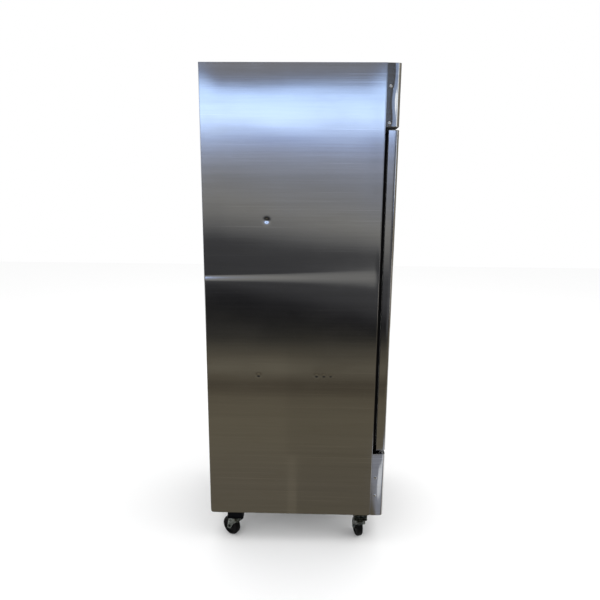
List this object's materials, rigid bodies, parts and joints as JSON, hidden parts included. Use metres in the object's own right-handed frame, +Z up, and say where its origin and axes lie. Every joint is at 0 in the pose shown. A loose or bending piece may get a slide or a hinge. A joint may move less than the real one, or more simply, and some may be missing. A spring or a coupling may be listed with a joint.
{
  "type": "reach in refrigerator",
  "caption": "Upright reach-in refrigerator with a solid stainless door, header panel, louvered lower panel, wire shelves and swivel casters.",
  "frame": {"origin": "on the floor, under the middle of the bounding box", "axes": "+Z up, -Y towards the user in front of the door, +X to the user's right, where the hinges are"},
  "size_m": [0.6948, 0.792, 2.095],
  "materials": {
    "stainless": "horizontal brushed grain",
    "galvanised": "dull galvanised sheet",
    "zinc_plate": "bright zinc plate",
    "bright_steel": "polished",
    "insulation_foam": "rigid polyurethane foam",
    "white_liner": "white enamel",
    "dark_plastic": "moulded",
    "black_plastic": "moulded",
    "display": "tinted window",
    "button_grey": "moulded",
    "shelf_coating": "epoxy coated wire",
    "lamp_lens": "opal lens",
    "coil_fins": "plain fins",
    "condenser_black": "black paint",
    "black_steel": "black paint",
    "motor_shell": "black enamel",
    "copper": "drawn copper tube",
    "rubber": "moulded",
    "white_plastic": "moulded",
    "red_rocker": "moulded",
    "wheel_tread": "hard rubber tread"
  },
  "bodies": {
    "cabinet": {"side_panel_left": "stainless", "side_panel_right": "stainless", "back_panel": "galvanised", "top_panel": "stainless", "base_frame": "galvanised", "rear_cover": "galvanised", "insulation": "insulation_foam", "liner_sides": "white_liner", "liner_back": "white_liner", "liner_top": "white_liner", "liner_floor": "white_liner", "breaker_strips": "dark_plastic", "header_panel": "stainless", "panel_screws": "bright_steel", "controller_housing": "black_plastic", "controller_display": "display", "lower_panel": "stainless", "shelf_pilasters": "zinc_plate", "shelf_clips": "zinc_plate", "interior_lamp": "lamp_lens", "evaporator_cover": "white_liner", "evaporator_coil": "coil_fins", "evaporator_fan_motor": "motor_shell", "drain_tube": "white_plastic", "compressor": "motor_shell", "compressor_grommets": "rubber", "condenser_coil": "condenser_black", "condenser_shroud": "galvanised", "condenser_fan_motor": "motor_shell", "filter_drier": "copper", "refrigerant_lines": "copper", "condensate_pan": "black_plastic", "electrical_box": "galvanised", "hinge_brackets": "stainless", "caster_plates": "black_steel"},
    "door": {"door_shell": "stainless", "door_insulation": "insulation_foam", "door_liner": "white_liner", "door_gasket": "rubber", "door_pull": "dark_plastic", "hinge_bushes": "white_plastic"},
    "shelf_top": {"shelf_top": "shelf_coating"},
    "shelf_middle": {"shelf_middle": "shelf_coating"},
    "shelf_bottom": {"shelf_bottom": "shelf_coating"},
    "evaporator_fan": {"evaporator_fan_blade": "black_plastic"},
    "condenser_fan": {"condenser_fan_blade": "zinc_plate"},
    "button_set": {"button_set": "button_grey"},
    "button_up": {"button_up": "button_grey"},
    "button_down": {"button_down": "button_grey"},
    "power_switch": {"power_switch": "red_rocker"},
    "swivel_front_left": {"caster_fork_front_left": "zinc_plate"},
    "wheel_front_left": {"caster_wheel_front_left": "wheel_tread"},
    "swivel_front_right": {"caster_fork_front_right": "zinc_plate"},
    "wheel_front_right": {"caster_wheel_front_right": "wheel_tread"},
    "swivel_rear_left": {"caster_fork_rear_left": "zinc_plate"},
    "wheel_rear_left": {"caster_wheel_rear_left": "wheel_tread"},
    "swivel_rear_right": {"caster_fork_rear_right": "zinc_plate"},
    "wheel_rear_right": {"caster_wheel_rear_right": "wheel_tread"},
    "brake_front_left": {"caster_brake_left": "black_plastic"},
    "brake_front_right": {"caster_brake_right": "black_plastic"}
  },
  "joints": [
    {"name": "door_hinge", "type": "hinge", "parent": "cabinet", "child": "door", "pos_m": [0.325, -0.369, 1.161], "axis": [0, 0, 1], "range_deg": [0, 120], "stiffness_Nm_per_rad": 0.6},
    {"name": "shelf_top_lift", "type": "slide", "parent": "cabinet", "child": "shelf_top", "axis": [0, 0, 1], "range_m": [0, 0.012]},
    {"name": "shelf_middle_lift", "type": "slide", "parent": "cabinet", "child": "shelf_middle", "axis": [0, 0, 1], "range_m": [0, 0.012]},
    {"name": "shelf_bottom_lift", "type": "slide", "parent": "cabinet", "child": "shelf_bottom", "axis": [0, 0, 1], "range_m": [0, 0.012]},
    {"name": "evaporator_fan_spin", "type": "hinge", "parent": "cabinet", "child": "evaporator_fan", "pos_m": [0, -0.152, 1.906], "axis": [0, 0, 1], "continuous": true},
    {"name": "condenser_fan_spin", "type": "hinge", "parent": "cabinet", "child": "condenser_fan", "pos_m": [0, -0.192, 0.29], "axis": [0, 1, 0], "continuous": true},
    {"name": "button_set_press", "type": "slide", "parent": "cabinet", "child": "button_set", "axis": [0, 1, 0], "range_m": [0, 0.001], "stiffness_N_per_m": 2000},
    {"name": "button_up_press", "type": "slide", "parent": "cabinet", "child": "button_up", "axis": [0, 1, 0], "range_m": [0, 0.001], "stiffness_N_per_m": 2000},
    {"name": "button_down_press", "type": "slide", "parent": "cabinet", "child": "button_down", "axis": [0, 1, 0], "range_m": [0, 0.001], "stiffness_N_per_m": 2000},
    {"name": "power_switch_rock", "type": "hinge", "parent": "cabinet", "child": "power_switch", "pos_m": [-0.256, 0.367, 0.214], "axis": [1, 0, 0], "range_deg": [-16, 0]},
    {"name": "swivel_front_left", "type": "hinge", "parent": "cabinet", "child": "swivel_front_left", "pos_m": [-0.295, -0.296, 0.098], "axis": [0, 0, 1], "continuous": true},
    {"name": "roll_front_left", "type": "hinge", "parent": "swivel_front_left", "child": "wheel_front_left", "pos_m": [-0.26589, -0.28874, 0.045], "axis": [0.2419, -0.9703, 0], "continuous": true},
    {"name": "brake_front_left", "type": "hinge", "parent": "swivel_front_left", "child": "brake_front_left", "pos_m": [-0.26007, -0.28729, 0.096], "axis": [0.2419, -0.9703, 0], "range_deg": [-12, 0]},
    {"name": "swivel_front_right", "type": "hinge", "parent": "cabinet", "child": "swivel_front_right", "pos_m": [0.295, -0.296, 0.098], "axis": [0, 0, 1], "continuous": true},
    {"name": "roll_front_right", "type": "hinge", "parent": "swivel_front_right", "child": "wheel_front_right", "pos_m": [0.28876, -0.26666, 0.045], "axis": [0.9781, 0.2079, 0], "continuous": true},
    {"name": "brake_front_right", "type": "hinge", "parent": "swivel_front_right", "child": "brake_front_right", "pos_m": [0.28752, -0.26079, 0.096], "axis": [0.9781, 0.2079, 0], "range_deg": [-12, 0]},
    {"name": "swivel_rear_left", "type": "hinge", "parent": "cabinet", "child": "swivel_rear_left", "pos_m": [-0.295, 0.286, 0.098], "axis": [0, 0, 1], "continuous": true},
    {"name": "roll_rear_left", "type": "hinge", "parent": "swivel_rear_left", "child": "wheel_rear_left", "pos_m": [-0.27822, 0.31087, 0.045], "axis": [0.829, -0.5592, 0], "continuous": true},
    {"name": "swivel_rear_right", "type": "hinge", "parent": "cabinet", "child": "swivel_rear_right", "pos_m": [0.295, 0.286, 0.098], "axis": [0, 0, 1], "continuous": true},
    {"name": "roll_rear_right", "type": "hinge", "parent": "swivel_rear_right", "child": "wheel_rear_right", "pos_m": [0.2828, 0.31341, 0.045], "axis": [0.9135, 0.4067, 0], "continuous": true}
  ]
}
